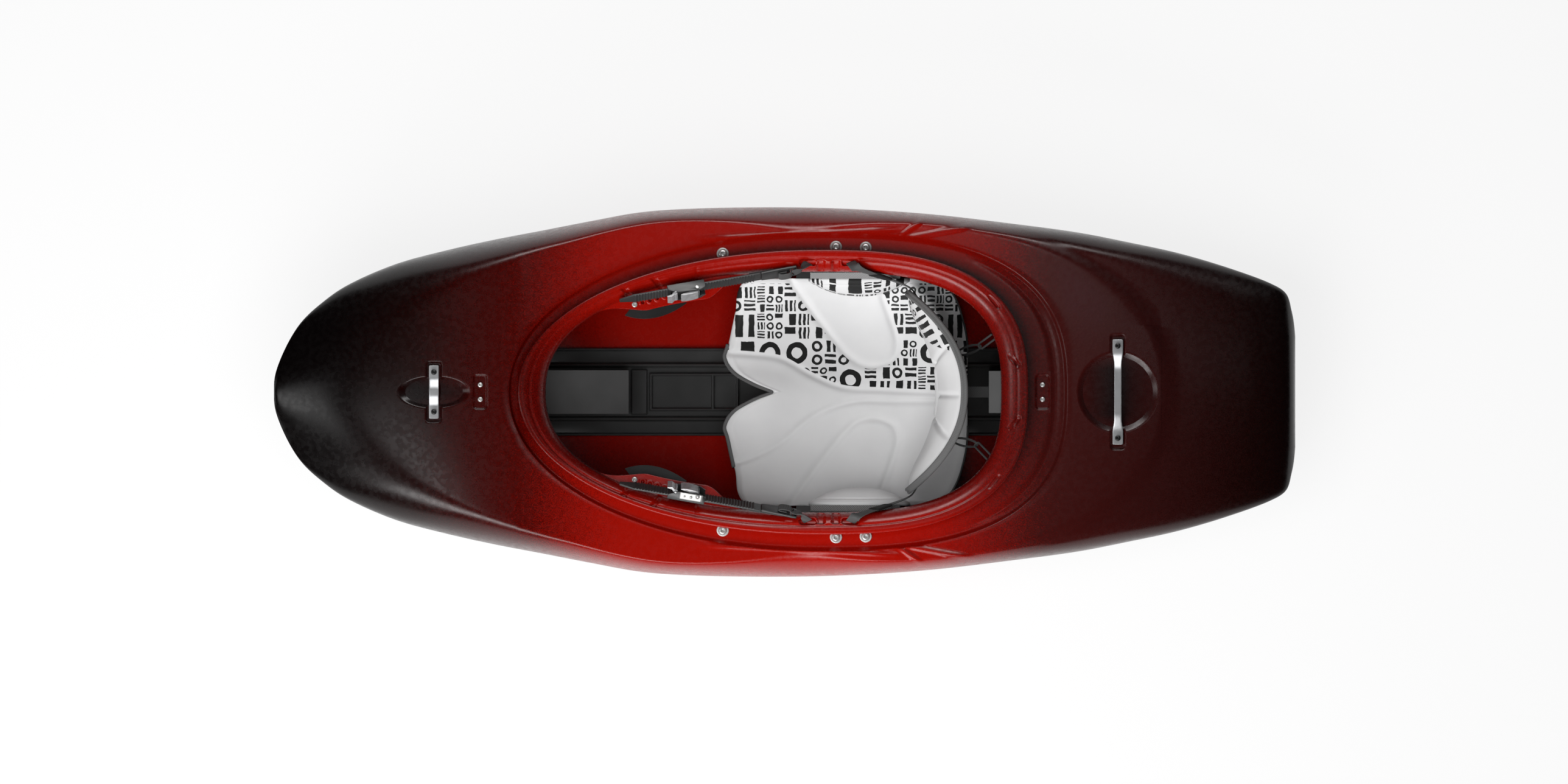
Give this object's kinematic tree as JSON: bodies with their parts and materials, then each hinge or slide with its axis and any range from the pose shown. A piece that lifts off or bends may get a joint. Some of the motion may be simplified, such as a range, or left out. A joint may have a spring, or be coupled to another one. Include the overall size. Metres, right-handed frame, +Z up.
{
  "type": "whitewater kayak",
  "caption": "Short whitewater playboat with a keyhole cockpit rim, moulded thigh hooks, padded seat and hip pads, tilting backband and ratchet straps.",
  "frame": {"origin": "under the middle of the hull's length and beam, on the plane that the flat of the bottom lies on", "axes": "+X to the stern, +Y to starboard, +Z up"},
  "size_m": [1.75, 0.6332, 0.3295],
  "materials": {
    "hull": "glossy rotomoulded polyethylene, dark red amidships, nearly black at the ends",
    "handle": "satin anodised bar",
    "bolt": "black oxide",
    "screw": "plain stainless",
    "rail": "moulded black",
    "pillar_foam": "closed-cell foam, dark grey",
    "seat_foam": "pressed foam with a woven face, pale grey",
    "pan": "moulded black",
    "strap": "moulded dark grey",
    "clear_lever": "clear moulded lever",
    "webbing": "woven dark grey"
  },
  "bodies": {
    "hull": {"hull_shell": "hull", "bow_grab_handle": "handle", "bow_handle_bolt_right": "bolt", "bow_handle_bolt_left": "bolt", "stern_grab_handle": "handle", "stern_handle_bolt_right": "bolt", "stern_handle_bolt_left": "bolt", "bow_pillar_screw_right": "screw", "bow_pillar_screw_left": "screw", "stern_pillar_screw_right": "screw", "stern_pillar_screw_left": "screw", "side_washer_right_1": "screw", "side_washer_right_2": "screw", "side_washer_right_3": "screw", "side_washer_left_1": "screw", "side_washer_left_2": "screw", "side_washer_left_3": "screw", "side_screw_right_1": "screw", "side_screw_right_2": "screw", "side_screw_right_3": "screw", "side_screw_left_1": "screw", "side_screw_left_2": "screw", "side_screw_left_3": "screw", "seat_rail": "rail", "bow_foam_pillar": "pillar_foam", "stern_foam_pillar": "pillar_foam", "seat_pad": "seat_foam", "seat_pan": "pan", "hip_pad_right": "seat_foam", "hip_pad_left": "seat_foam", "buckle_base_right": "screw", "buckle_base_left": "screw", "lever_pin_right": "screw", "lever_pin_left": "screw", "thigh_brace_plate_right": "pan", "thigh_brace_plate_left": "pan", "thigh_brace_foam_right": "pillar_foam", "thigh_brace_foam_left": "pillar_foam", "brace_screw_right": "screw", "brace_screw_left": "screw", "front_webbing_right": "webbing", "front_webbing_left": "webbing", "rear_webbing_right": "webbing", "rear_webbing_left": "webbing", "shock_cord_right": "webbing", "shock_cord_left": "webbing"},
    "backband": {"backband_shell": "pan", "backband_pad": "seat_foam", "cord_hook_right": "pan", "cord_hook_left": "pan"},
    "strap_right": {"ladder_strap_right": "strap", "strap_frame_right": "strap"},
    "strap_left": {"ladder_strap_left": "strap", "strap_frame_left": "strap"},
    "lever_right": {"ratchet_lever_right": "clear_lever", "drive_pawl_right": "screw"},
    "lever_left": {"ratchet_lever_left": "clear_lever", "drive_pawl_left": "screw"},
    "release_right": {"release_lever_right": "strap"},
    "release_left": {"release_lever_left": "strap"}
  },
  "joints": [
    {"name": "backband_tilt", "type": "hinge", "parent": "hull", "child": "backband", "pos_m": [0.275, 0, 0.0597], "axis": [0, -1, 0], "range_deg": [0, 10], "deforming": ["rear_webbing_right", "rear_webbing_left", "shock_cord_right", "shock_cord_left"]},
    {"name": "strap_right_slide", "type": "slide", "parent": "hull", "child": "strap_right", "axis": [-0.982, -0.1704, 0.0812], "range_m": [0, 0.0235], "deforming": ["front_webbing_right"]},
    {"name": "strap_left_slide", "type": "slide", "parent": "hull", "child": "strap_left", "axis": [-0.982, 0.1704, 0.0812], "range_m": [0, 0.0235], "deforming": ["front_webbing_left"]},
    {"name": "lever_right_turn", "type": "hinge", "parent": "hull", "child": "lever_right", "pos_m": [-0.14943, 0.17192, 0.30331], "axis": [-0.0152, 0.4999, 0.8659], "range_deg": [0, 75]},
    {"name": "lever_left_turn", "type": "hinge", "parent": "hull", "child": "lever_left", "pos_m": [-0.14943, -0.17192, 0.30331], "axis": [0.0152, 0.4999, -0.8659], "range_deg": [0, 75]},
    {"name": "release_right_turn", "type": "hinge", "parent": "hull", "child": "release_right", "pos_m": [-0.18675, 0.16545, 0.30639], "axis": [0.0152, -0.4999, -0.8659], "range_deg": [0, 18], "stiffness_Nm_per_rad": 0.05, "springref_deg": -8.59},
    {"name": "release_left_turn", "type": "hinge", "parent": "hull", "child": "release_left", "pos_m": [-0.18675, -0.16545, 0.30639], "axis": [-0.0152, -0.4999, 0.8659], "range_deg": [0, 18], "stiffness_Nm_per_rad": 0.05, "springref_deg": -8.59}
  ],
  "couplings": [
    {"joint": "strap_right_slide", "follows": "backband_tilt", "m_per_rad": 0.132},
    {"joint": "strap_left_slide", "follows": "backband_tilt", "m_per_rad": 0.132}
  ]
}
